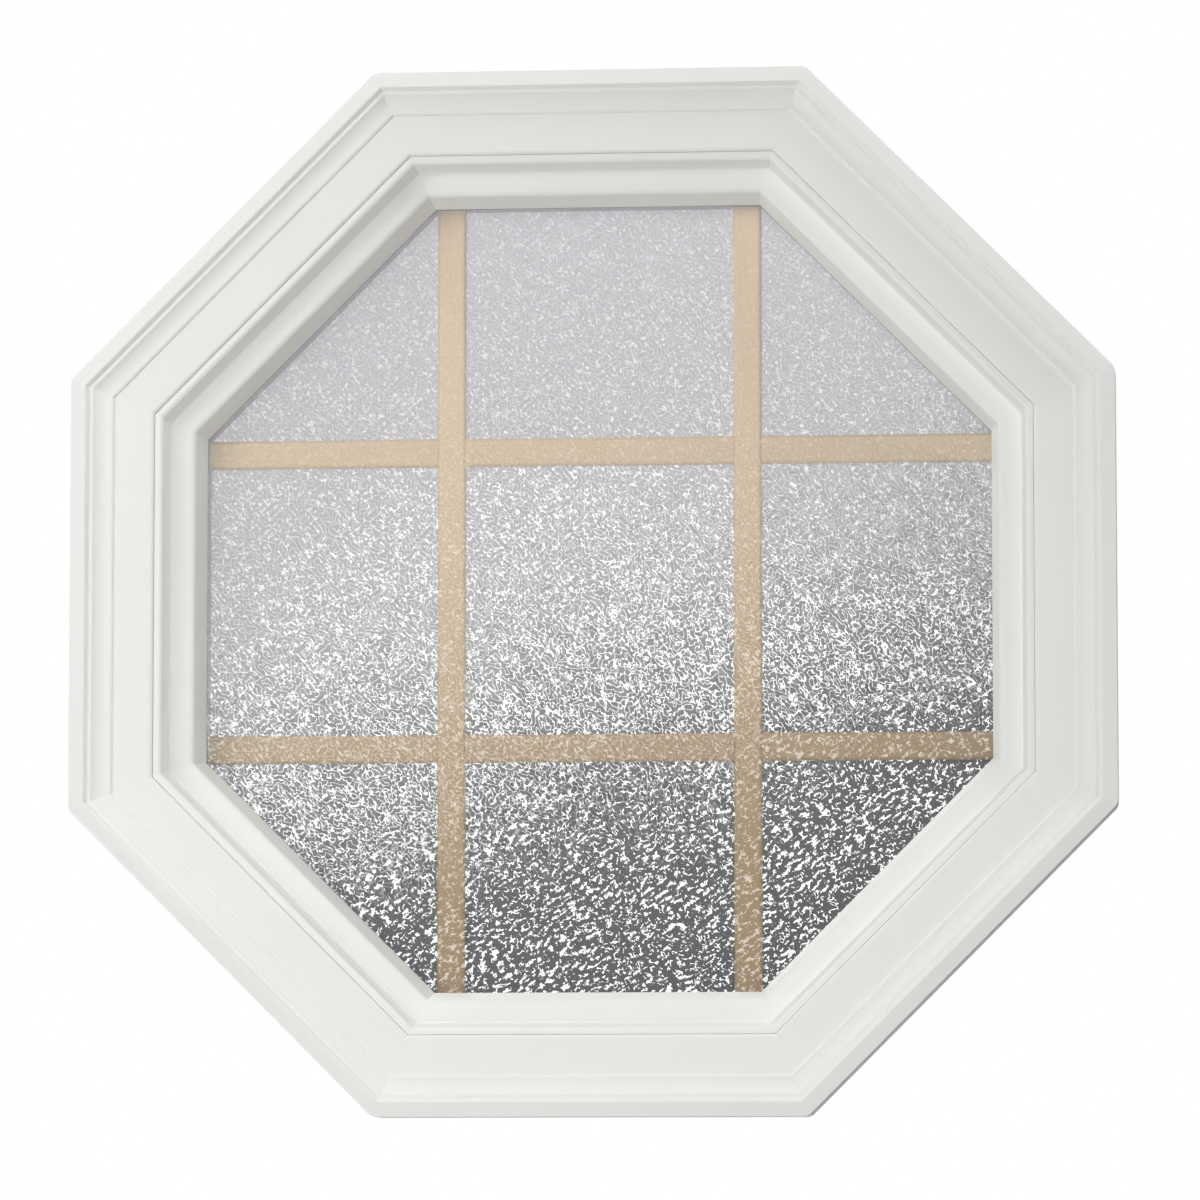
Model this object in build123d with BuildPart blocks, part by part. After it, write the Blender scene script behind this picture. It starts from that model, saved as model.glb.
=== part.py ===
from build123d import *
import math
import os

os.makedirs("parts", exist_ok=True)

# A fixed octagon window: moulded casing, frame with a deep jamb, and a sealed double-glazed unit
# with a grille between its panes, held by stops on the room side.
# +Z is up, +X is to the right seen from outdoors, and +Y runs into the wall, towards the room.
# The origin is on the back of the bottom casing member, in the middle of its length and its width.
# The eight members of each ring, clockwise from the top seen from outdoors.
SIDES = ["top", "upper_right", "right", "lower_right", "bottom", "lower_left", "left", "upper_left"]
turn = 360 / len(SIDES)
mitre_angle = turn / 2
flat_share = math.tan(math.radians(mitre_angle))  # half a flat's length, for each mm from the centre

# Across the flats of the glass that shows
daylight = 463.2

# Casing, across its face from the outer edge to the seam with the frame
nose_width = 8.7
nose_lean = 2.0
quirk_width = 2.0
cove_run = 8.9
cove_flat = 2.3
fascia_lean = 0.5
fascia_width = 23.1
casing_width = nose_width + nose_lean + quirk_width + cove_run + cove_flat + fascia_lean + fascia_width

# Casing, from its nose back to the wall
casing_thickness = 32.0
nose_fall = 1.4  # from the nose's inner edge out to the casing's edge
nose_step = 3.4
nose_roll = 1.0
cove_drop = 4.6
fascia_step = 2.2
fascia_fall = 1.6
fascia_roll = 1.8
seam_roll = 2.4
casing_corner_radius = 6.5  # in plan, at the eight outer corners
casing_overlap = 1.0  # the section is drawn this far past the outline that trims it

# Frame, across its face from the seam to the glass
fillet_width = 4.6
outer_slope_run = 3.0
band_width = 13.4
inner_slope_run = 4.7
frame_face = fillet_width + outer_slope_run + band_width + inner_slope_run

# Frame, from the fascia's inner edge back to the glass
seam_step = 2.2
outer_slope_drop = 16.0
band_fall = 1.8
inner_slope_drop = 20.0
lip_edge = 2.0
outer_slope_roll = 3.0
outer_slope_hollow = 1.2
inner_slope_roll = 4.0

# Frame, behind the casing
joint_gap = 0.2  # between the casing and the frame
jamb_setback = 1.5  # the jamb stands this far in from the seam, so that it clears the opening in the wall
setback_start = 0.5
jamb_depth = 116.0
jamb_ease = 1.5

# Sealed unit
glass_bite = 10.0  # how far the unit reaches behind the sight line
edge_clearance = 3.0  # round the unit, inside the frame's rebate
pane_thickness = 3.0
air_space = 13.0
seal_width = 4.0
spacer_width = 5.5

# Glazing tape, one ring on each side of the unit
tape_thickness = 1.6
tape_width = 8.0
tape_inset = 0.6

# Setting blocks under the unit
block_length = 50.0
block_spacing = 110.0

# Stops on the room side
stop_depth = 19.0
stop_round = 8.0

# Grille
bar_width = 16.6
bar_thickness = 5.6
bar_edge_radius = 2.2
bar_wall = 0.7
bar_corner_clearance = 0.2  # from a bar's edge to the corner of the spacer
clip_flange = 1.0
clip_plug = 8.0
clip_play = 0.15

# Distances from the window's centre line out to the flats
sight = daylight / 2
seam = sight + frame_face
casing_edge = seam + casing_width
pane_edge = sight + glass_bite
rebate_wall = pane_edge + edge_clearance
jamb_face = seam - jamb_setback
spacer_edge = pane_edge - seal_width
spacer_face = spacer_edge - spacer_width

# Places through the wall, from the nose inwards
nose_y = -casing_thickness
quirk_y = nose_y + nose_step
cove_y = quirk_y + cove_drop
fascia_y = cove_y + fascia_step
fascia_end_y = fascia_y + fascia_fall
fillet_y = fascia_end_y + seam_step
band_y = fillet_y + outer_slope_drop
band_end_y = band_y + band_fall
sight_y = band_end_y + inner_slope_drop
rebate_y = sight_y + lip_edge
outer_pane_y = rebate_y + tape_thickness
gap_y = outer_pane_y + pane_thickness
inner_pane_y = gap_y + air_space
inner_tape_y = inner_pane_y + pane_thickness
stop_y = inner_tape_y + tape_thickness
grille_y = gap_y + air_space / 2

centre = Vector(0, 0, seam + casing_width / 2)
wallward = Vector(0, 1, 0)


def section_plane(side):
    """Plane across the middle of a member: local x runs outward from the centre, local y into the wall."""
    angle = math.radians(SIDES.index(side) * turn)
    outward = Vector(math.sin(angle), 0, math.cos(angle))
    return Plane(origin=centre, x_dir=outward, z_dir=outward.cross(wallward))


def face_plane(y):
    """Plane of the window's face at a place through the wall, with the window's centre as its origin."""
    return Plane(origin=centre + wallward * y, x_dir=(1, 0, 0), z_dir=wallward)


def cut_mitres(side):
    """Cut both ends of the member in hand on the planes that it shares with its neighbours."""
    for lean in (-1, 1):
        angle = math.radians(SIDES.index(side) * turn + lean * mitre_angle)
        away = Vector(math.cos(angle), 0, -math.sin(angle)) * lean
        split(bisect_by=Plane(origin=centre, z_dir=away), keep=Keep.BOTTOM)


def casing_member(side):
    """One length of casing: a nose, a quirk, a cove and a fascia that falls to the seam."""
    nose_end = casing_edge - nose_width
    quirk_start = nose_end - nose_lean
    cove_start = quirk_start - quirk_width
    cove_end = cove_start - cove_run
    fascia_top = cove_end - cove_flat
    fascia_start = fascia_top - fascia_lean
    trim_edge = casing_edge + casing_overlap
    edge_y = nose_y + nose_fall
    with BuildPart() as member:
        with BuildSketch(section_plane(side)):
            with BuildLine():
                Polyline((seam, 0), (trim_edge, 0), (trim_edge, edge_y), (casing_edge, edge_y))
                FilletPolyline(
                    (casing_edge, edge_y), (nose_end, nose_y), (quirk_start, quirk_y), radius=nose_roll)
                Line((quirk_start, quirk_y), (cove_start, quirk_y))
                TangentArc((cove_end, cove_y), (cove_start, quirk_y), tangent=(1, 0))
                FilletPolyline(
                    (cove_end, cove_y), (fascia_top, cove_y), (fascia_start, fascia_y), radius=fascia_roll)
                FilletPolyline((fascia_start, fascia_y), (seam, fascia_end_y), (seam, 0), radius=seam_roll)
            make_face()
        extrude(amount=casing_edge * flat_share + casing_overlap, both=True)
        cut_mitres(side)
        with BuildSketch(Plane(origin=centre, x_dir=section_plane(side).z_dir, z_dir=wallward)) as outline:
            RegularPolygon(casing_edge, len(SIDES), major_radius=False, rotation=mitre_angle)
            fillet(outline.vertices(), casing_corner_radius)
        extrude(amount=casing_thickness + casing_overlap, both=True, mode=Mode.INTERSECT)
    return member.part


def frame_member(side):
    """One length of frame: two slopes and a band step down to the glass, and a jamb runs back."""
    frame_edge = seam - joint_gap
    slope_start = seam - fillet_width
    band_start = slope_start - outer_slope_run
    slope_end = band_start - band_width
    with BuildPart() as member:
        with BuildSketch(section_plane(side)):
            with BuildLine():
                FilletPolyline(
                    (frame_edge, fillet_y), (slope_start, fillet_y), (band_start, band_y),
                    (slope_end, band_end_y), (sight, sight_y),
                    radius=[outer_slope_roll, outer_slope_hollow, inner_slope_roll])
                Polyline(
                    (sight, sight_y), (sight, rebate_y), (rebate_wall, rebate_y), (rebate_wall, jamb_depth))
                FilletPolyline(
                    (rebate_wall, jamb_depth), (jamb_face, jamb_depth), (jamb_face, setback_start),
                    radius=jamb_ease)
                Polyline((jamb_face, setback_start), (frame_edge, setback_start), (frame_edge, fillet_y))
            make_face()
        extrude(amount=seam * flat_share, both=True)
        cut_mitres(side)
    return member.part


def stop_member(side):
    """One length of stop, with its inner edge rounded towards the room."""
    with BuildPart() as member:
        with BuildSketch(section_plane(side)):
            with BuildLine():
                FilletPolyline(
                    (rebate_wall, stop_y + stop_depth), (sight, stop_y + stop_depth), (sight, stop_y),
                    radius=stop_round)
                Polyline((sight, stop_y), (rebate_wall, stop_y), (rebate_wall, stop_y + stop_depth))
            make_face()
        extrude(amount=rebate_wall * flat_share, both=True)
        cut_mitres(side)
    return member.part


def octagon_plate(y, thickness, edge, inner_edge=0):
    """An octagonal plate, or a ring where an inner edge is given."""
    with BuildPart() as plate:
        with BuildSketch(face_plane(y)):
            RegularPolygon(edge, len(SIDES), major_radius=False, rotation=mitre_angle)
            if inner_edge:
                RegularPolygon(
                    inner_edge, len(SIDES), major_radius=False, rotation=mitre_angle, mode=Mode.SUBTRACT)
        extrude(amount=thickness)
    return plate.part


def bar_plane(end, along):
    """Plane across a bar at its end: local x lies across the bar's face, local y through its thickness."""
    return Plane(origin=end, x_dir=along.cross(wallward), z_dir=along)


def grille_bar(end, along, length):
    """A hollow flat bar with rounded edges."""
    with BuildPart() as bar:
        with BuildSketch(bar_plane(end, along)):
            RectangleRounded(bar_width, bar_thickness, bar_edge_radius)
            RectangleRounded(
                bar_width - 2 * bar_wall, bar_thickness - 2 * bar_wall, bar_edge_radius - bar_wall,
                mode=Mode.SUBTRACT)
        extrude(amount=length)
    return bar.part


def save(name, part):
    """Label a finished piece and write it to its own file."""
    part.label = name
    export_step(part, f"parts/{name}.step")


for side in SIDES:
    save(f"casing_{side}", casing_member(side))
    save(f"frame_{side}", frame_member(side))
    save(f"stop_{side}", stop_member(side))

save("outer_pane", octagon_plate(outer_pane_y, pane_thickness, pane_edge))
save("inner_pane", octagon_plate(inner_pane_y, pane_thickness, pane_edge))
save("spacer", octagon_plate(gap_y, air_space, spacer_edge, spacer_face))
save("edge_seal", octagon_plate(gap_y, air_space, pane_edge, spacer_edge))
tape_face = sight + tape_inset
save("outer_tape", octagon_plate(rebate_y, tape_thickness, tape_face + tape_width, tape_face))
save("inner_tape", octagon_plate(inner_tape_y, tape_thickness, tape_face + tape_width, tape_face))

# The bars' outer edges run to the corners of the glass.
# The upright bars pass, and the level ones butt on them.
bar_offset = spacer_face * flat_share - bar_width / 2 - bar_corner_clearance
bar_reach = spacer_face - clip_flange
upright = Vector(0, 0, 1)
level = Vector(1, 0, 0)
grille_centre = centre + wallward * grille_y
for name, x in (("left", -bar_offset), ("right", bar_offset)):
    foot = grille_centre + level * x - upright * bar_reach
    save(f"grille_upright_{name}", grille_bar(foot, upright, 2 * bar_reach))
near_edge = bar_offset - bar_width / 2
far_edge = bar_offset + bar_width / 2
for row, z in (("upper", bar_offset), ("lower", -bar_offset)):
    for name, start, end in (
        ("left", -bar_reach, -far_edge), ("middle", -near_edge, near_edge), ("right", far_edge, bar_reach)):
        tip = grille_centre + upright * z + level * start
        save(f"grille_{row}_{name}", grille_bar(tip, level, end - start))

# A clip on the spacer holds each bar's end: a flange as large as the bar, and a plug inside it.
clip_planes = []
for offset in (-bar_offset, bar_offset):
    for way in (-1, 1):
        for along, across in ((upright, level), (level, upright)):
            foot = grille_centre + across * offset + along * spacer_face * way
            clip_planes.append(bar_plane(foot, along * -way))
plug_inset = bar_wall + clip_play
plug_width = bar_width - 2 * plug_inset
plug_thickness = bar_thickness - 2 * plug_inset
with BuildPart() as grille_clips:
    with BuildSketch(*clip_planes):
        RectangleRounded(bar_width, bar_thickness, bar_edge_radius)
    extrude(amount=clip_flange)
    with BuildSketch(*[plane.offset(clip_flange) for plane in clip_planes]):
        RectangleRounded(plug_width, plug_thickness, bar_edge_radius - plug_inset)
    extrude(amount=clip_plug)
save("grille_clips", grille_clips.part)

unit_thickness = 2 * pane_thickness + air_space
with BuildPart() as setting_blocks:
    with BuildSketch(Plane(origin=(0, outer_pane_y, centre.Z - rebate_wall), z_dir=upright)):
        with GridLocations(block_spacing, 0, 2, 1):
            Rectangle(block_length, unit_thickness, align=(Align.CENTER, Align.MIN))
    extrude(amount=edge_clearance)
save("setting_blocks", setting_blocks.part)
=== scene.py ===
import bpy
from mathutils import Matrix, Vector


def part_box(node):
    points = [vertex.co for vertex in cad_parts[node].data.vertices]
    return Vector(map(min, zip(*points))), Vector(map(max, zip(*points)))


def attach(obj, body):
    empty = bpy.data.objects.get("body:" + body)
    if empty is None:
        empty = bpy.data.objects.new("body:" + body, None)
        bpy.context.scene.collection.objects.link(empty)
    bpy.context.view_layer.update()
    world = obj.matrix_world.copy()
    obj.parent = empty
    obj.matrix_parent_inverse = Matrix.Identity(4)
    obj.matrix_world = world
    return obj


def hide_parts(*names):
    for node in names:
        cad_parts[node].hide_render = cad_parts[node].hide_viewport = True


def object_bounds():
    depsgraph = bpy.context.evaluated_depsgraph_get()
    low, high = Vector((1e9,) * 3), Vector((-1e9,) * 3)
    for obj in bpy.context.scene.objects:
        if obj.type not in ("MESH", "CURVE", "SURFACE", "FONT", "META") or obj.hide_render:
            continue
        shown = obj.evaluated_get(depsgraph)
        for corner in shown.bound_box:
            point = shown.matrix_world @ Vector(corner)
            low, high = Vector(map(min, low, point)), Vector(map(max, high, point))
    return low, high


bl_info = {
    "name": "Octagon Window Finishes",
    "version": (1, 0, 0),
    "blender": (4, 5, 0),
    "location": "View3D > Sidebar > Window",
    "description": "Finishes a fixed octagon window: moulded plastic, rolled glass and a painted grille",
    "category": "Object",
}

import math

import bpy
from bpy.props import FloatProperty, FloatVectorProperty, IntProperty, PointerProperty
from mathutils import Vector

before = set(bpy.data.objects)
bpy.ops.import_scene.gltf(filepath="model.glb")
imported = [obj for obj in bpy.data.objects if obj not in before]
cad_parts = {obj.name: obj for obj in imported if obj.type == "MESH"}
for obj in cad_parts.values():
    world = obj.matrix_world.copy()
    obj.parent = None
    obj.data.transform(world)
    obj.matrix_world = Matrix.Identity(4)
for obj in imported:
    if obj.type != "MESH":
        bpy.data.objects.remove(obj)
cad_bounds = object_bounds()

SIDES = ["top", "upper_right", "right", "lower_right", "bottom", "lower_left", "left", "upper_left"]
BAR_NODES = [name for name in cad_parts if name.startswith("grille_") and name != "grille_clips"]
MM = 0.001

# The photograph is square, and it takes in this much of the plane of the casing's nose.
PHOTO_WIDTH = 0.6952
SENSOR_WIDTH = 36.0

# The soft lamps. Each has its place round the window (degrees to the right and up), its distance and its
# width in metres, and the light that it throws on the window.
LAMPS = {
    "left_high": (-65, 50, 2.8, 1.2, 0.116),
    "left_front": (-35, 15, 2.8, 1.2, 0.150),
    "front": (0, 15, 2.8, 1.2, 0.190),
    "right_high": (65, 50, 2.8, 1.2, 0.480),
    "left_near": (-45, 20, 1.2, 0.7, 0.205),
    "left_low": (-45, -40, 1.2, 0.7, 0.040),
    "front_low": (-10, -25, 1.2, 0.7, 0.200),
    "behind": (200, 25, 2.8, 1.6, 0.450),
}

# The glass: the outer pane's corners, its middle and how far its flats stand from it, and the inner pane's
# outer face
pane_low, pane_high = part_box("outer_pane")
glass_middle = (pane_low + pane_high) / 2
pane_reach = (pane_high.x - pane_low.x) / 2
inner_face_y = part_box("inner_pane")[0].y

# How the glass's painted glints and the ripples in its painted light lie: their turn in the window's face,
# and how far they are drawn out along it
WORM_TURN, WORM_STRETCH = math.radians(50), (1.2, 1, 0.9)
RUN_TURN, RUN_STRETCH = math.radians(-35), (1.7, 1, 0.8)
RIPPLE_TURN, RIPPLE_STRETCH = math.radians(55), (1.8, 1, 1)

# The width of the ripples in the painted quiet ground, and how far the painted glints swirl
RIPPLE_SIZE = 6 * MM
SWIRL = 9 * MM

# The levels of the noises at which the painted glints begin and end, and the share of a worm's width that
# is solid
WORM_LEVEL = 0.5
LINE_CORE = 0.55
GAP_LEVELS = (0.53, 0.49)
BLOB_LEVELS = (0.61, 0.65)
PATCH_LEVELS = (0.42, 0.58)

# What changes the painted light over the pane. Heights are shares of it from the bottom up, and the
# clouds and the ripples raise or lower them by shares too.
TONE_LEAN = 0.3
CLOUD_SIZE = 120 * MM
CLOUD_SHARE = 0.16
RIPPLE_SHARE = 0.3
SIDE_FALL = 0.2
BREAK_HEIGHTS = (0.42, 0.15)
WIDENING_HEIGHTS = (0.15, 0.6)
LOW_WIDENING = 1.8

# The finish's bump, as a share of the modelled relief, and the widest angle that is shaded smooth
BUMP_SHARE = 0.1
SMOOTH_ANGLE = math.radians(40)

# The glass's painted light by height, as display colours: its quiet ground, painted light and shade for
# what is seen through the glass, pale above and dark below, and the painted glints on it
PAINTED_QUIET_TONES = (
    (0.0, (0.225, 0.23, 0.235)), (0.2, (0.27, 0.275, 0.28)), (0.38, (0.43, 0.432, 0.436)),
    (0.47, (0.52, 0.52, 0.524)), (0.58, (0.59, 0.587, 0.595)), (1.0, (0.635, 0.627, 0.64)))
PAINTED_GLINT_TONES = (
    (0.0, (0.96, 0.965, 0.97)), (0.1, (1.0, 1.0, 1.0)), (0.46, (1.0, 1.0, 1.0)),
    (0.58, (0.93, 0.925, 0.935)), (0.72, (0.80, 0.79, 0.80)), (1.0, (0.725, 0.715, 0.73)))

# The bars: how far their fine lines are drawn out, how strong those are, the heights between which the
# painted shade at the bars' lower ends gives way to the tan, the lean of those heights, and each way's
# painted shade, which makes the level bars darker than the uprights
BAR_STRETCH = 30
BAR_STREAKS = 0.25
BAR_SHADE_HEIGHTS = (0.0, 0.9)
BAR_SHADE_LEAN = 0.15
UPRIGHT_PAINTED_SHADE = 0.98
LEVEL_PAINTED_SHADE = 0.90

# What the grain does to the plastic's roughness, and how deep the fine lines of bars and strips are
GRAIN_ROUGHNESS = 0.12
STREAK_DEPTH = 0.02 * MM

# The floor's width, and the distances between which it fades into the white
FLOOR_SIZE = 12
FLOOR_FADE = (0.8, 3.0)


class PlasticProps(bpy.types.PropertyGroup):
    """What a user would change on the white plastic of the casing, the frame and the stops"""
    colour: FloatVectorProperty(
        name="White", description="Colour of the plastic", subtype="COLOR_GAMMA", size=3, min=0, max=1,
        default=(0.920, 0.925, 0.911))
    frame_colour: FloatVectorProperty(
        name="Frame white", description="Colour of the frame round the glass", subtype="COLOR_GAMMA",
        size=3, min=0, max=1, default=(0.930, 0.934, 0.921))
    stop_colour: FloatVectorProperty(
        name="Stop white", description="Colour of the stops on the room side", subtype="COLOR_GAMMA",
        size=3, min=0, max=1, default=(0.930, 0.930, 0.922))
    roughness: FloatProperty(
        name="Roughness", description="How dull the skin is", default=0.58, min=0, max=1)
    sheen: FloatProperty(
        name="Sheen", description="How strongly the skin mirrors its surroundings", default=0.22, min=0,
        max=1)
    grain_size: FloatProperty(
        name="Grain size", description="Width of one grain of the skin", default=0.9 * MM, unit="LENGTH")
    grain_depth: FloatProperty(
        name="Grain depth", description="How deep the grain of the skin is", default=0.012 * MM,
        unit="LENGTH")
    tone_share: FloatProperty(
        name="Tone share", description="How strong the soft clouds in the skin's tone are", default=0.03,
        min=0, max=1)


class GlassProps(bpy.types.PropertyGroup):
    """What a user would change on the rolled glass"""
    # The worms, dots and blobs below are painted highlights drawn into the glass's colour.
    worm_size: FloatProperty(
        name="Worm size", description="Width of the loops that the fine worms draw", default=3.0 * MM,
        unit="LENGTH")
    run_size: FloatProperty(
        name="Run size", description="Width of one short blob, and of one modelled ripple",
        default=2.8 * MM, unit="LENGTH")
    line_width: FloatProperty(
        name="Line width", description="Half a worm's width, as a share of the noise it follows",
        default=0.026, min=0.001, max=0.5)
    # The glow is emission: painted light that stands in for the light through the glass
    glow: FloatProperty(
        name="Glow", description="Strength of the light that comes through from behind", default=1.1, min=0)
    lit_share: FloatProperty(
        name="Lit share", description="Share of the glass's tone that the lamps light", default=0.3, min=0,
        max=1, subtype="FACTOR")
    patch_size: FloatProperty(
        name="Patch size", description="Width of the patches where the short blobs lie", default=38 * MM,
        unit="LENGTH")
    relief: FloatProperty(
        name="Relief", description="Depth of the rolled pattern", default=0.35 * MM, unit="LENGTH")
    veil: FloatProperty(
        name="Veil", description="Share of the outer pane that hides what is behind it", default=0.3, min=0,
        max=1, subtype="FACTOR")
    body: FloatProperty(
        name="Body", description="Share of the inner pane that hides what is behind it", default=0.95,
        min=0, max=1, subtype="FACTOR")
    cells: IntProperty(
        name="Cells", description="Cells across the modelled face of the outer pane", default=320, min=8,
        max=330)


class GrilleProps(bpy.types.PropertyGroup):
    """What a user would change on the grille between the panes"""
    colour: FloatVectorProperty(
        name="Tan", description="Colour of the baked paint", subtype="COLOR_GAMMA", size=3, min=0, max=1,
        default=(0.90, 0.79, 0.62))
    # The low colour is painted shade: the bars are painted darker towards their lower ends.
    low_shaded_colour: FloatVectorProperty(
        name="Shaded low tan", description="Colour of the paint at the bars' lower ends", subtype="COLOR_GAMMA",
        size=3, min=0, max=1, default=(0.70, 0.59, 0.43))
    streak_width: FloatProperty(
        name="Streak width", description="Width of the fine lines along the bars", default=0.7 * MM,
        unit="LENGTH")


class StageProps(bpy.types.PropertyGroup):
    """What a user would change on the camera, the lamps and the floor"""
    azimuth: FloatProperty(
        name="Azimuth", description="How far to the right of the window's axis the camera stands",
        default=math.radians(5.5), subtype="ANGLE")
    elevation: FloatProperty(
        name="Elevation", description="How far above the window's axis the camera stands",
        default=math.radians(-5.5), subtype="ANGLE")
    distance: FloatProperty(
        name="Distance", description="From the camera to the glass", default=4.0, unit="LENGTH")
    aim: FloatVectorProperty(
        name="Aim", description="From the middle of the glass to the middle of the picture",
        subtype="TRANSLATION", size=3, default=(1.0 * MM, 0, -1.0 * MM))
    lamp_level: FloatProperty(name="Lamps", description="Level of all the lamps together", default=1.0)
    ambient: FloatProperty(name="Ambient", description="Strength of the light from all round", default=0.02)
    floor_drop: FloatProperty(
        name="Floor drop", description="From the window's lowest edge down to the floor", default=0.8,
        unit="LENGTH")


def linear(colour):
    """The same colour in the scene's own linear values."""
    return tuple(c / 12.92 if c <= 0.04045 else ((c + 0.055) / 1.055) ** 2.4 for c in colour)


def grey(level):
    """A neutral colour from a display level between 0 and 1."""
    return linear((level, level, level))


def add(tree, kind, **settings):
    """A new node with some of its own settings."""
    node = tree.nodes.new(kind)
    for name, value in settings.items():
        setattr(node, name, value)
    return node


def feed(tree, socket, value):
    """Join a socket to another, or give it a value."""
    if isinstance(value, bpy.types.NodeSocket):
        tree.links.new(value, socket)
    else:
        socket.default_value = value


def calc(tree, operation, first, second=0.0, third=0.0, clamp=False):
    """The result of a sum on values or sockets."""
    node = add(tree, "ShaderNodeMath", operation=operation, use_clamp=clamp)
    for socket, value in zip(node.inputs, (first, second, third)):
        feed(tree, socket, value)
    return node.outputs[0]


def ramp(tree, value, low, high, to_low=0.0, to_high=1.0):
    """A value brought smoothly from one range to another."""
    node = add(tree, "ShaderNodeMapRange", interpolation_type="SMOOTHSTEP")
    for socket, number in zip(node.inputs, (value, low, high, to_low, to_high)):
        feed(tree, socket, number)
    return node.outputs[0]


def noise(tree, place, size, detail=1.0, roughness=0.5):
    """Soft noise whose lumps are about as wide as the size given. Returns its value and its colour."""
    node = add(tree, "ShaderNodeTexNoise")
    feed(tree, node.inputs["Vector"], place)
    feed(tree, node.inputs["Scale"], calc(tree, "DIVIDE", 1.0, size))
    node.inputs["Detail"].default_value = detail
    node.inputs["Roughness"].default_value = roughness
    return node.outputs["Fac"], node.outputs["Color"]


def around_middle(tree, value, reach):
    """A noise's value moved to lie round nought, and made as strong as the reach."""
    return calc(tree, "MULTIPLY", calc(tree, "SUBTRACT", value, 0.5), reach)


def blend_colours(tree, share, first, second):
    """Two colours mixed by a share."""
    node = add(tree, "ShaderNodeMix", data_type="RGBA")
    feed(tree, node.inputs["Factor"], share)
    for socket, value in ((node.inputs["A"], first), (node.inputs["B"], second)):
        feed(tree, socket, value if isinstance(value, bpy.types.NodeSocket) else (*value, 1.0))
    return node.outputs["Result"]


def arrange(tree, place, turn=0.0, stretch=(1, 1, 1)):
    """A place in a pattern that is turned in the window's face and stretched along its own axes."""
    node = add(tree, "ShaderNodeMapping", vector_type="TEXTURE")
    feed(tree, node.inputs["Vector"], place)
    node.inputs["Rotation"].default_value = (0, turn, 0)
    node.inputs["Scale"].default_value = stretch
    return node.outputs[0]


def scale_by(tree, vector, share):
    """A colour or place multiplied by one number."""
    node = add(tree, "ShaderNodeVectorMath", operation="SCALE")
    feed(tree, node.inputs[0], vector)
    feed(tree, node.inputs["Scale"], share)
    return node.outputs[0]


def multiply_add(tree, vector, factors, more):
    """A place multiplied along each axis, with another added."""
    node = add(tree, "ShaderNodeVectorMath", operation="MULTIPLY_ADD")
    for socket, value in zip(node.inputs, (vector, factors, more)):
        feed(tree, socket, value)
    return node.outputs[0]


def new_group(name, inputs, outputs):
    """An empty shader node group. Inputs are names with kinds and values, and outputs names with kinds."""
    tree = bpy.data.node_groups.new(name, "ShaderNodeTree")
    for label, kind, value in inputs:
        socket = tree.interface.new_socket(label, in_out="INPUT", socket_type=kind)
        if value is not None:
            socket.default_value = value
    for label, kind in outputs:
        tree.interface.new_socket(label, in_out="OUTPUT", socket_type=kind)
    return tree, add(tree, "NodeGroupInput"), add(tree, "NodeGroupOutput")


def use_group(tree, name, **values):
    """A group placed in a material with its own values."""
    node = add(tree, "ShaderNodeGroup", node_tree=bpy.data.node_groups[name])
    for label, value in values.items():
        feed(tree, node.inputs[label.replace("_", " ")], value)
    return node


def build_skin_grain():
    """Group: the faint orange peel of moulded plastic, with soft clouds in its tone."""
    tree, given, result = new_group(
        "Skin grain",
        [("Place", "NodeSocketVector", None), ("Size", "NodeSocketFloat", 0.001)],
        [("Height", "NodeSocketFloat"), ("Tone", "NodeSocketFloat")])
    place, size = given.outputs["Place"], given.outputs["Size"]
    fine, _ = noise(tree, place, size, detail=2.0, roughness=0.6)
    broad, _ = noise(tree, place, calc(tree, "MULTIPLY", size, 60.0), detail=3.0)
    feed(tree, result.inputs["Height"], fine)
    clouds = around_middle(tree, broad, 1.2)
    speckle = around_middle(tree, fine, 1.0)
    feed(tree, result.inputs["Tone"], calc(tree, "ADD", clouds, speckle))


def line_where(tree, value, middle, width):
    """A crisp line wherever a noise crosses a level."""
    off = calc(tree, "ABSOLUTE", calc(tree, "SUBTRACT", value, middle))
    return ramp(tree, calc(tree, "DIVIDE", off, width), 1.0, LINE_CORE)


def build_painted_glints():
    """Group: painted highlights, the crisp worms, dots and short blobs that light draws in rolled glass."""
    tree, given, result = new_group(
        "Painted glints and relief",
        [("Place", "NodeSocketVector", None), ("Worm size", "NodeSocketFloat", 0.001),
         ("Run size", "NodeSocketFloat", 0.003), ("Patch size", "NodeSocketFloat", 0.03),
         ("Line width", "NodeSocketFloat", 0.03), ("Brokenness", "NodeSocketFloat", 1.0)],
        [("Painted highlights", "NodeSocketFloat"), ("Height", "NodeSocketFloat")])
    place, width = given.outputs["Place"], given.outputs["Line width"]
    _, drift = noise(tree, place, given.outputs["Patch size"])
    flow = multiply_add(tree, drift, (SWIRL, 0, SWIRL), place)
    channels = add(tree, "ShaderNodeSeparateColor")
    feed(tree, channels.inputs[0], drift)

    worm, _ = noise(tree, arrange(tree, flow, WORM_TURN, WORM_STRETCH), given.outputs["Worm size"])
    worms = line_where(tree, worm, WORM_LEVEL, width)

    # Where the painted glints are broken, the worms part into dots, and short blobs run up to the right in
    # patches.
    run, _ = noise(tree, arrange(tree, flow, RUN_TURN, RUN_STRETCH), given.outputs["Run size"])
    broken = given.outputs["Brokenness"]
    gaps = calc(tree, "MULTIPLY", ramp(tree, run, *GAP_LEVELS), broken)
    patch = calc(tree, "MULTIPLY", ramp(tree, channels.outputs["Green"], *PATCH_LEVELS), broken)
    blobs = calc(tree, "MULTIPLY", ramp(tree, run, *BLOB_LEVELS), patch)
    dots = calc(tree, "MULTIPLY", worms, calc(tree, "SUBTRACT", 1.0, gaps))
    feed(tree, result.inputs["Painted highlights"], calc(tree, "MAXIMUM", dots, blobs))
    feed(tree, result.inputs["Height"], worm)


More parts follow.
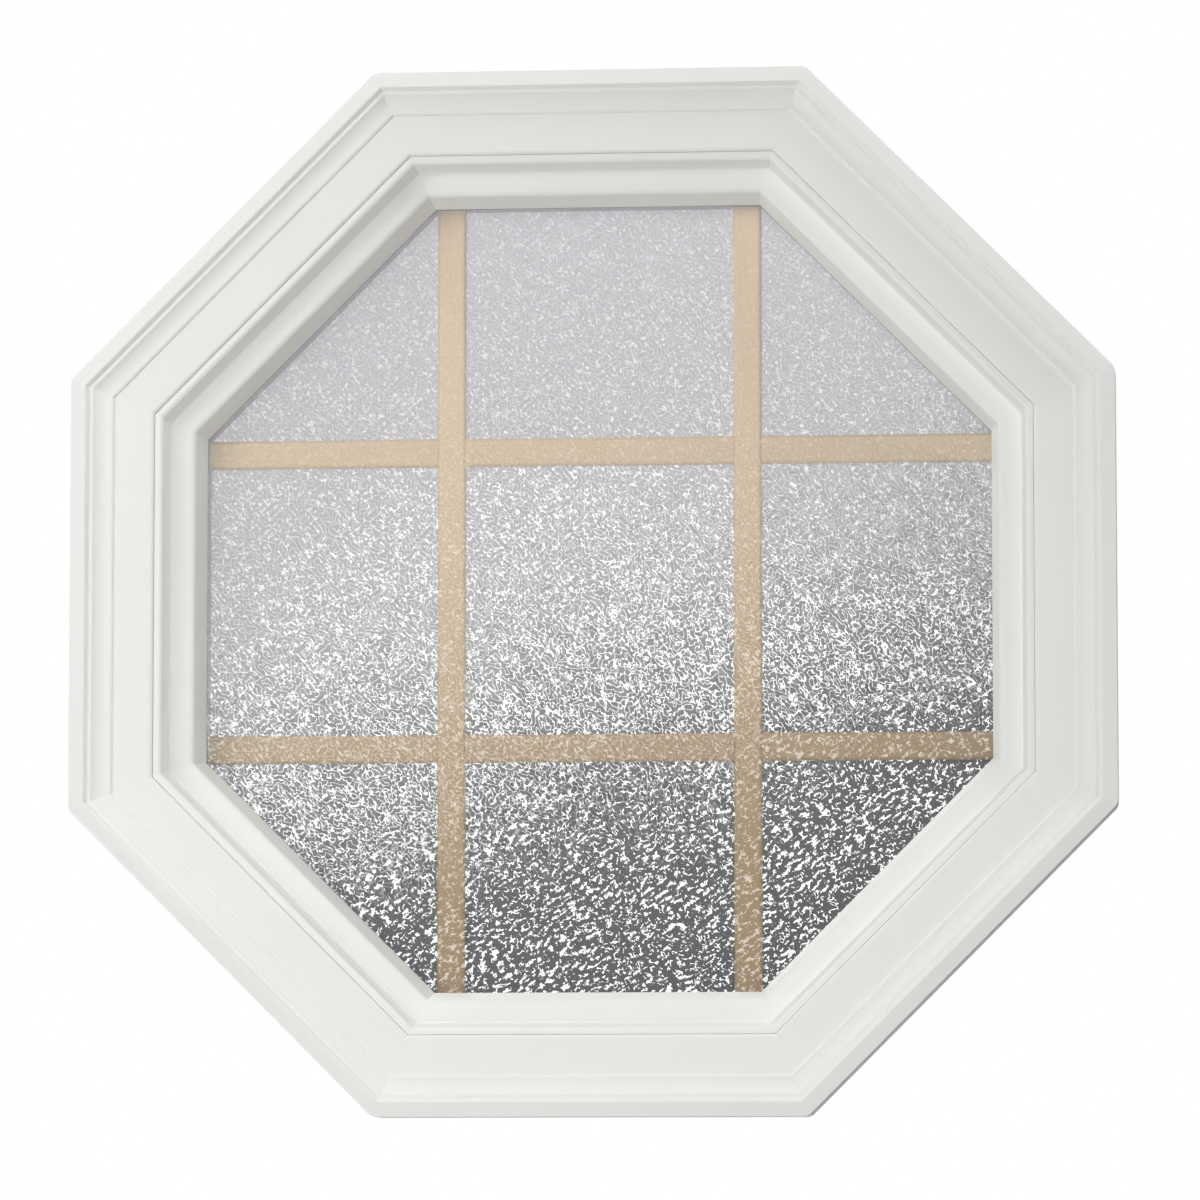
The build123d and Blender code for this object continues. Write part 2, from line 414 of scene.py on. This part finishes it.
def build_fine_streaks():
    """Group: fine lines drawn out along one way, as on a painted or rolled strip of metal."""
    tree, given, result = new_group(
        "Fine streaks",
        [("Place", "NodeSocketVector", None), ("Width", "NodeSocketFloat", 0.001)],
        [("Streaks", "NodeSocketFloat")])
    lines, _ = noise(tree, given.outputs["Place"], given.outputs["Width"], detail=2.0, roughness=0.6)
    feed(tree, result.inputs["Streaks"], calc(tree, "SUBTRACT", lines, 0.5))


def new_material(name, roughness=0.5):
    """A material with its shader, and the place on the object that its patterns read."""
    material = bpy.data.materials.new(name)
    material.use_nodes = True
    tree = material.node_tree
    shader = tree.nodes["Principled BSDF"]
    shader.inputs["Roughness"].default_value = roughness
    place = add(tree, "ShaderNodeTexCoord").outputs["Object"]
    return material, tree, shader, place


def set_bump(tree, shader, height, depth):
    """Give a shader a bump of a real depth."""
    bump = add(tree, "ShaderNodeBump")
    bump.inputs["Strength"].default_value = 1.0
    bump.inputs["Distance"].default_value = depth
    feed(tree, bump.inputs["Height"], height)
    feed(tree, shader.inputs["Normal"], bump.outputs["Normal"])


def plastic_material(name, colour, look):
    """White moulded plastic with a satin skin."""
    material, tree, shader, place = new_material(name)
    shader.inputs["Specular IOR Level"].default_value = look.sheen
    grain = use_group(tree, "Skin grain", Place=place, Size=look.grain_size)
    tone = calc(tree, "MULTIPLY_ADD", grain.outputs["Tone"], look.tone_share, 1.0)
    feed(tree, shader.inputs["Base Color"], scale_by(tree, linear(colour), tone))
    roughness = calc(tree, "MULTIPLY_ADD", grain.outputs["Tone"], GRAIN_ROUGHNESS, look.roughness)
    feed(tree, shader.inputs["Roughness"], roughness)
    set_bump(tree, shader, grain.outputs["Height"], look.grain_depth)
    return material


def dress(nodes, material):
    """Give CAD nodes a material through their slots."""
    for name in nodes:
        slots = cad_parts[name].material_slots
        if not slots:
            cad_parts[name].data.materials.append(material)
        for slot in slots:
            slot.material = material


def height_share(tree, place, lean):
    """How far up the glass a place is, from 0 to 1. The lean lowers it towards the right."""
    split = add(tree, "ShaderNodeSeparateXYZ")
    feed(tree, split.inputs[0], place)
    leaning = calc(tree, "MULTIPLY_ADD", split.outputs["X"], -lean, split.outputs["Z"])
    bottom = glass_middle.z - pane_reach
    return calc(tree, "DIVIDE", calc(tree, "SUBTRACT", leaning, bottom), 2 * pane_reach)


def colour_by(tree, value, stops):
    """The colour that a value picks from a list of stops, each with its place and its display colour."""
    node = add(tree, "ShaderNodeValToRGB")
    elements = node.color_ramp.elements
    while len(elements) < len(stops):
        elements.new(0.5)
    for element, (spot, colour) in zip(elements, stops):
        element.position = spot
        element.color = (*linear(colour), 1.0)
    feed(tree, node.inputs[0], value)
    return node.outputs["Color"]


def painted_glass_light(tree, place):
    """The pane's painted light: its quiet tone, painted light and shade, its glint tone, painted highlights,
    and the height that they follow: pale above, dark and full of contrast below. The painted glints weaken
    towards both sides."""
    broad, _ = noise(tree, place, CLOUD_SIZE)
    clouds = around_middle(tree, broad, CLOUD_SHARE)
    height = calc(tree, "ADD", clouds, height_share(tree, place, TONE_LEAN))
    ripples, _ = noise(tree, arrange(tree, place, RIPPLE_TURN, RIPPLE_STRETCH), RIPPLE_SIZE)
    rippled_height = calc(tree, "ADD", around_middle(tree, ripples, RIPPLE_SHARE), height)

    split = add(tree, "ShaderNodeSeparateXYZ")
    feed(tree, split.inputs[0], place)
    aside = calc(tree, "DIVIDE", split.outputs["X"], pane_reach)
    level_height = calc(tree, "ADD", clouds, height_share(tree, place, 0.0))
    glint_height = calc(tree, "MULTIPLY_ADD", calc(tree, "MULTIPLY", aside, aside), SIDE_FALL, level_height)
    quiet = colour_by(tree, rippled_height, PAINTED_QUIET_TONES)
    return quiet, colour_by(tree, glint_height, PAINTED_GLINT_TONES), height


def rolled_glass_material(name, look, share, scale=1.0, shift=(0, 0, 0), depth=0.0):
    """Obscure glass whose tone is painted light and shade with painted highlights: part of it is lit by the
    lamps, and part glows as emission, painted light that stands in for the light behind it. The share is how
    much it hides, and the depth is that of its bump, if it has one."""
    material, tree, shader, place = new_material(name, roughness=0.3)
    flat_place = multiply_add(tree, place, (scale, 0, scale), shift)
    quiet, glint, height = painted_glass_light(tree, flat_place)
    pattern = use_group(
        tree, "Painted glints and relief", Place=flat_place, Worm_size=look.worm_size, Run_size=look.run_size,
        Patch_size=look.patch_size, Brokenness=ramp(tree, height, *BREAK_HEIGHTS),
        Line_width=ramp(tree, height, *WIDENING_HEIGHTS, look.line_width * LOW_WIDENING, look.line_width))
    # The tone is painted light and shade with painted highlights; the emission paints the light through it
    tone = blend_colours(tree, pattern.outputs["Painted highlights"], quiet, glint)
    feed(tree, shader.inputs["Base Color"], scale_by(tree, tone, look.lit_share))
    feed(tree, shader.inputs["Emission Color"], tone)
    shader.inputs["Emission Strength"].default_value = look.glow
    shader.inputs["Alpha"].default_value = share
    shader.inputs["IOR"].default_value = 1.5
    if depth:
        set_bump(tree, shader, pattern.outputs["Height"], depth)
    return material


def way_out(across, up):
    """From the glass outwards, turned to the right and up."""
    return Vector((math.sin(across) * math.cos(up), -math.cos(across) * math.cos(up), math.sin(up)))


def eye_place(stage):
    """Where the photograph's camera stands."""
    return glass_middle + Vector(stage.aim) + way_out(stage.azimuth, stage.elevation) * stage.distance


def let_light_through(piece):
    """Glass hides what is behind it from the eye only: light passes."""
    piece.visible_shadow = False
    piece.visible_diffuse = False


def start_piece():
    """Leave nothing selected before a primitive is added."""
    bpy.ops.object.select_all(action="DESELECT")


def model_rolled_pane(look):
    """The outer pane with its rolled face towards the weather: a grid cut to an octagon, sunk by a noise and
    closed at the back."""
    outer_y = pane_low.y
    start_piece()
    cells = look.cells
    bpy.ops.mesh.primitive_grid_add(
        x_subdivisions=cells, y_subdivisions=cells, size=2 * pane_reach,
        location=(glass_middle.x, outer_y, glass_middle.z), rotation=(math.radians(90), 0, 0))
    pane = bpy.context.object
    pane.name = "rolled_pane"
    bpy.ops.object.transform_apply(location=True, rotation=True, scale=True)
    bpy.ops.object.mode_set(mode="EDIT")
    for across, up in ((1, 1), (1, -1), (-1, 1), (-1, -1)):
        away = Vector((across, 0, up)).normalized()
        bpy.ops.mesh.select_all(action="SELECT")
        bpy.ops.mesh.bisect(
            plane_co=Vector((glass_middle.x, outer_y, glass_middle.z)) + away * pane_reach, plane_no=away,
            clear_outer=True)
    bpy.ops.object.mode_set(mode="OBJECT")
    sink_relief(pane, look)
    bpy.ops.object.mode_set(mode="EDIT")
    bpy.ops.mesh.select_all(action="DESELECT")
    bpy.ops.mesh.select_mode(type="EDGE")
    bpy.ops.mesh.select_non_manifold()
    bpy.ops.mesh.extrude_edges_move(TRANSFORM_OT_translate={"value": (0, pane_high.y - pane_low.y, 0)})
    bpy.ops.transform.resize(value=(1, 0, 1), center_override=(glass_middle.x, pane_high.y, glass_middle.z))
    bpy.ops.mesh.edge_face_add()
    bpy.ops.mesh.select_all(action="SELECT")
    bpy.ops.mesh.normals_make_consistent(inside=False)
    bpy.ops.object.mode_set(mode="OBJECT")
    return pane


def sink_relief(pane, look):
    """Sink the rolled ripples into the face: valleys only, so the face stays behind its plane."""
    ripples = bpy.data.textures.new("rolled_ripples", "CLOUDS")
    ripples.noise_scale = look.run_size
    ripples.noise_depth = 1
    sink = pane.modifiers.new("rolled_face", "DISPLACE")
    sink.texture = ripples
    sink.texture_coords = "LOCAL"
    sink.direction = "Y"
    sink.mid_level = 0.0
    sink.strength = look.relief
    bpy.ops.object.modifier_apply(modifier=sink.name)


class WINDOW_OT_finish_casing(bpy.types.Operator):
    """Give the eight casing members their white moulded skin"""
    bl_idname = "window.finish_casing"
    bl_label = "Finish Casing"

    def execute(self, context):
        look = context.scene.window_plastic
        dress([f"casing_{side}" for side in SIDES], plastic_material("casing_plastic", look.colour, look))
        return {"FINISHED"}


class WINDOW_OT_finish_frame(bpy.types.Operator):
    """Give the eight frame members their white plastic"""
    bl_idname = "window.finish_frame"
    bl_label = "Finish Frame"

    def execute(self, context):
        look = context.scene.window_plastic
        white = plastic_material("frame_plastic", look.frame_colour, look)
        dress([f"frame_{side}" for side in SIDES], white)
        return {"FINISHED"}


class WINDOW_OT_finish_stops(bpy.types.Operator):
    """Give the eight stops on the room side their white plastic"""
    bl_idname = "window.finish_stops"
    bl_label = "Finish Stops"

    def execute(self, context):
        look = context.scene.window_plastic
        dress([f"stop_{side}" for side in SIDES], plastic_material("stop_plastic", look.stop_colour, look))
        return {"FINISHED"}


class WINDOW_OT_make_rolled_pane(bpy.types.Operator):
    """Model the outer pane with its rolled face, and give it obscure glass"""
    bl_idname = "window.make_rolled_pane"
    bl_label = "Make Rolled Pane"

    def execute(self, context):
        look = context.scene.window_glass
        pane = model_rolled_pane(look)
        face_share = 1 - math.sqrt(1 - look.veil)  # both faces veil in turn
        bump_depth = look.relief * BUMP_SHARE
        glass = rolled_glass_material("patterned_glass", look, face_share, depth=bump_depth)
        pane.data.materials.append(glass)
        bpy.ops.object.shade_smooth_by_angle(angle=SMOOTH_ANGLE)
        let_light_through(pane)
        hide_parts("outer_pane")
        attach(pane, "root")
        return {"FINISHED"}


class WINDOW_OT_finish_inner_pane(bpy.types.Operator):
    """Give the inner pane its glass, whose painted light and painted highlights line up with the outer pane's
    as the camera sees them
    """
    bl_idname = "window.finish_inner_pane"
    bl_label = "Finish Inner Pane"

    def execute(self, context):
        look = context.scene.window_glass
        eye = eye_place(context.scene.window_stage)
        share = (inner_face_y - pane_low.y) / (pane_low.y - eye.y)
        scale = 1 / (1 + share)
        shift = (eye.x * share * scale, 0, eye.z * share * scale)
        dress(["inner_pane"], rolled_glass_material("obscure_glass", look, look.body, scale, shift))
        let_light_through(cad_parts["inner_pane"])
        return {"FINISHED"}


class WINDOW_OT_finish_grille(bpy.types.Operator):
    """Give the bars between the panes their baked tan paint"""
    bl_idname = "window.finish_grille"
    bl_label = "Finish Grille"

    def execute(self, context):
        look = context.scene.window_grille
        # Each way gets its own painted shade: the level bars are painted darker than the uprights.
        upright = self.painted_bar("grille_paint_upright", look, (1, 1, BAR_STRETCH), UPRIGHT_PAINTED_SHADE)
        level = self.painted_bar("grille_paint_level", look, (BAR_STRETCH, 1, 1), LEVEL_PAINTED_SHADE)
        dress([name for name in BAR_NODES if "upright" in name], upright)
        dress([name for name in BAR_NODES if "upright" not in name], level)
        for name in BAR_NODES:
            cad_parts[name].visible_shadow = False
        return {"FINISHED"}

    def painted_bar(self, name, look, stretch, tone):
        """Tan paint with fine lines, painted darker towards the lower end. The tone, painted shade, darkens
        or lightens it as a whole.
        """
        material, tree, shader, place = new_material(name, roughness=0.42)
        streaks = use_group(
            tree, "Fine streaks", Place=arrange(tree, place, stretch=stretch), Width=look.streak_width)
        # Painted shade: darker towards the bar's lower end.
        painted_shade_share = ramp(tree, height_share(tree, place, BAR_SHADE_LEAN), *BAR_SHADE_HEIGHTS)
        tan = blend_colours(tree, painted_shade_share, linear(look.low_shaded_colour), linear(look.colour))
        streaked_painted_shade = calc(tree, "MULTIPLY_ADD", streaks.outputs["Streaks"], BAR_STREAKS, tone)
        feed(tree, shader.inputs["Base Color"], scale_by(tree, tan, streaked_painted_shade))
        set_bump(tree, shader, streaks.outputs["Streaks"], STREAK_DEPTH)
        return material


class WINDOW_OT_finish_glazing(bpy.types.Operator):
    """Give the spacer, the seal, the tapes, the clips and the setting blocks their finishes"""
    bl_idname = "window.finish_glazing"
    bl_label = "Finish Glazing Parts"

    def execute(self, context):
        dress(["spacer"], self.metal_strip("spacer_metal", grey(0.72)))
        dress(["edge_seal"], self.rubber("edge_sealant", grey(0.13), 0.5))
        dress(["outer_tape", "inner_tape"], self.rubber("glazing_tape", grey(0.36), 0.7))
        dress(["setting_blocks"], self.rubber("block_rubber", grey(0.10), 0.6))
        look = context.scene.window_plastic
        dress(["grille_clips"], plastic_material("clip_plastic", (0.86, 0.84, 0.80), look))
        return {"FINISHED"}

    def metal_strip(self, name, colour):
        """Bare rolled metal with fine lines round the unit."""
        material, tree, shader, place = new_material(name, roughness=0.35)
        along = arrange(tree, place, stretch=(10, 1, 10))
        streaks = use_group(tree, "Fine streaks", Place=along, Width=0.6 * MM)
        shader.inputs["Metallic"].default_value = 1.0
        share = calc(tree, "ADD", streaks.outputs["Streaks"], 0.5, clamp=True)
        darker = [c * 0.85 for c in colour]
        feed(tree, shader.inputs["Base Color"], blend_colours(tree, share, darker, colour))
        set_bump(tree, shader, streaks.outputs["Streaks"], STREAK_DEPTH)
        return material

    def rubber(self, name, colour, roughness):
        """Dull sealant, tape or rubber with a fine uneven skin."""
        material, tree, shader, place = new_material(name, roughness=roughness)
        grain = use_group(tree, "Skin grain", Place=place, Size=0.6 * MM)
        share = calc(tree, "ADD", grain.outputs["Tone"], 0.5, clamp=True)
        darker = [c * 0.8 for c in colour]
        feed(tree, shader.inputs["Base Color"], blend_colours(tree, share, darker, colour))
        set_bump(tree, shader, grain.outputs["Height"], 0.05 * MM)
        return material


class WINDOW_OT_set_stage(bpy.types.Operator):
    """Set the camera, the lamps, the white surroundings and the floor"""
    bl_idname = "window.set_stage"
    bl_label = "Set Stage"

    def execute(self, context):
        look = context.scene.window_stage
        context.scene.view_settings.view_transform = "Standard"
        self.place_camera(context, look)
        self.light_world(context, look)
        for name, lamp in LAMPS.items():
            self.hang_lamp(name, look.lamp_level, *lamp)
        self.lay_floor(look)
        return {"FINISHED"}

    def place_camera(self, context, look):
        """The photograph's camera: a little to the right of the window and below it."""
        camera = bpy.data.objects.new("camera", bpy.data.cameras.new("camera"))
        context.collection.objects.link(camera)
        camera.location = eye_place(look)
        inwards = -way_out(look.azimuth, look.elevation)
        camera.rotation_euler = inwards.to_track_quat("-Z", "Y").to_euler()
        camera.data.sensor_width = SENSOR_WIDTH
        nose_distance = look.distance - (glass_middle.y - cad_bounds[0][1])
        camera.data.lens = SENSOR_WIDTH * nose_distance / PHOTO_WIDTH
        context.scene.camera = camera

    def light_world(self, context, look):
        """Soft light from all round, and plain white to the eye, in reflections and through glass."""
        world = bpy.data.worlds.new("surroundings")
        context.scene.world = world
        world.use_nodes = True
        tree = world.node_tree
        soft = tree.nodes["Background"]
        soft.inputs["Color"].default_value = (1, 1, 1, 1)
        soft.inputs["Strength"].default_value = look.ambient
        white = add(tree, "ShaderNodeBackground")
        white.inputs["Color"].default_value = (1, 1, 1, 1)
        white.inputs["Strength"].default_value = 1.0
        ray = add(tree, "ShaderNodeLightPath")
        seen = calc(tree, "ADD", ray.outputs["Is Camera Ray"], ray.outputs["Is Glossy Ray"])
        seen = calc(tree, "ADD", seen, ray.outputs["Is Transmission Ray"], clamp=True)
        mix = add(tree, "ShaderNodeMixShader")
        feed(tree, mix.inputs[0], seen)
        feed(tree, mix.inputs[1], soft.outputs[0])
        feed(tree, mix.inputs[2], white.outputs[0])
        feed(tree, tree.nodes["World Output"].inputs["Surface"], mix.outputs[0])

    def hang_lamp(self, name, level, round_degrees, up_degrees, reach, size, light):
        """A square soft lamp that faces the window. Its power gives the same light at any distance."""
        lamp = bpy.data.objects.new(name, bpy.data.lights.new(name, "AREA"))
        bpy.context.collection.objects.link(lamp)
        lamp.data.energy = math.pi ** 2 * reach ** 2 * light * level
        lamp.data.size = size
        away = way_out(math.radians(round_degrees), math.radians(up_degrees))
        lamp.location = glass_middle + away * reach
        lamp.rotation_euler = (-away).to_track_quat("-Z", "Y").to_euler()

    def lay_floor(self, look):
        """A pale floor below the window, which fades into the white further out."""
        start_piece()
        level = cad_bounds[0][2] - look.floor_drop
        bpy.ops.mesh.primitive_plane_add(size=FLOOR_SIZE, location=(0, 0, level))
        floor = bpy.context.object
        floor.name = "floor"
        bpy.ops.object.transform_apply(location=True, rotation=True, scale=True)
        material, tree, shader, place = new_material("floor_paper", roughness=0.9)
        grain, _ = noise(tree, place, 0.004, detail=2.0)
        feed(tree, shader.inputs["Base Color"], blend_colours(tree, grain, grey(0.90), grey(0.93)))
        glow = add(tree, "ShaderNodeEmission")
        glow.inputs["Color"].default_value = (1, 1, 1, 1)
        reach = add(tree, "ShaderNodeVectorMath", operation="LENGTH")
        feed(tree, reach.inputs[0], place)
        far = ramp(tree, reach.outputs["Value"], *FLOOR_FADE)
        ray = add(tree, "ShaderNodeLightPath")
        seen = calc(tree, "MULTIPLY", far, ray.outputs["Is Camera Ray"])
        mix = add(tree, "ShaderNodeMixShader")
        feed(tree, mix.inputs[0], seen)
        feed(tree, mix.inputs[1], shader.outputs[0])
        feed(tree, mix.inputs[2], glow.outputs[0])
        feed(tree, tree.nodes["Material Output"].inputs["Surface"], mix.outputs[0])
        floor.data.materials.append(material)


OPERATORS = (
    WINDOW_OT_finish_casing, WINDOW_OT_finish_frame, WINDOW_OT_finish_stops, WINDOW_OT_make_rolled_pane,
    WINDOW_OT_finish_inner_pane, WINDOW_OT_finish_grille, WINDOW_OT_finish_glazing, WINDOW_OT_set_stage)


class WINDOW_PT_finishes(bpy.types.Panel):
    """The window's finishing steps, in order"""
    bl_idname = "WINDOW_PT_finishes"
    bl_label = "Octagon Window"
    bl_space_type = "VIEW_3D"
    bl_region_type = "UI"
    bl_category = "Window"

    def draw(self, context):
        for operator in OPERATORS:
            self.layout.operator(operator.bl_idname)


PROPERTY_GROUPS = {
    "window_plastic": PlasticProps, "window_glass": GlassProps, "window_grille": GrilleProps,
    "window_stage": StageProps}


def register():
    for name, group in PROPERTY_GROUPS.items():
        bpy.utils.register_class(group)
        setattr(bpy.types.Scene, name, PointerProperty(type=group))
    for cls in (*OPERATORS, WINDOW_PT_finishes):
        bpy.utils.register_class(cls)


def unregister():
    for cls in reversed((*OPERATORS, WINDOW_PT_finishes)):
        bpy.utils.unregister_class(cls)
    for name, group in PROPERTY_GROUPS.items():
        delattr(bpy.types.Scene, name)
        bpy.utils.unregister_class(group)


def main():
    """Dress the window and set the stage."""
    register()
    build_skin_grain()
    build_painted_glints()
    build_fine_streaks()
    bpy.ops.window.finish_casing()
    bpy.ops.window.finish_frame()
    bpy.ops.window.finish_stops()
    bpy.ops.window.make_rolled_pane()
    bpy.ops.window.finish_inner_pane()
    bpy.ops.window.finish_grille()
    bpy.ops.window.finish_glazing()
    bpy.ops.window.set_stage()


if __name__ == "__main__":
    main()
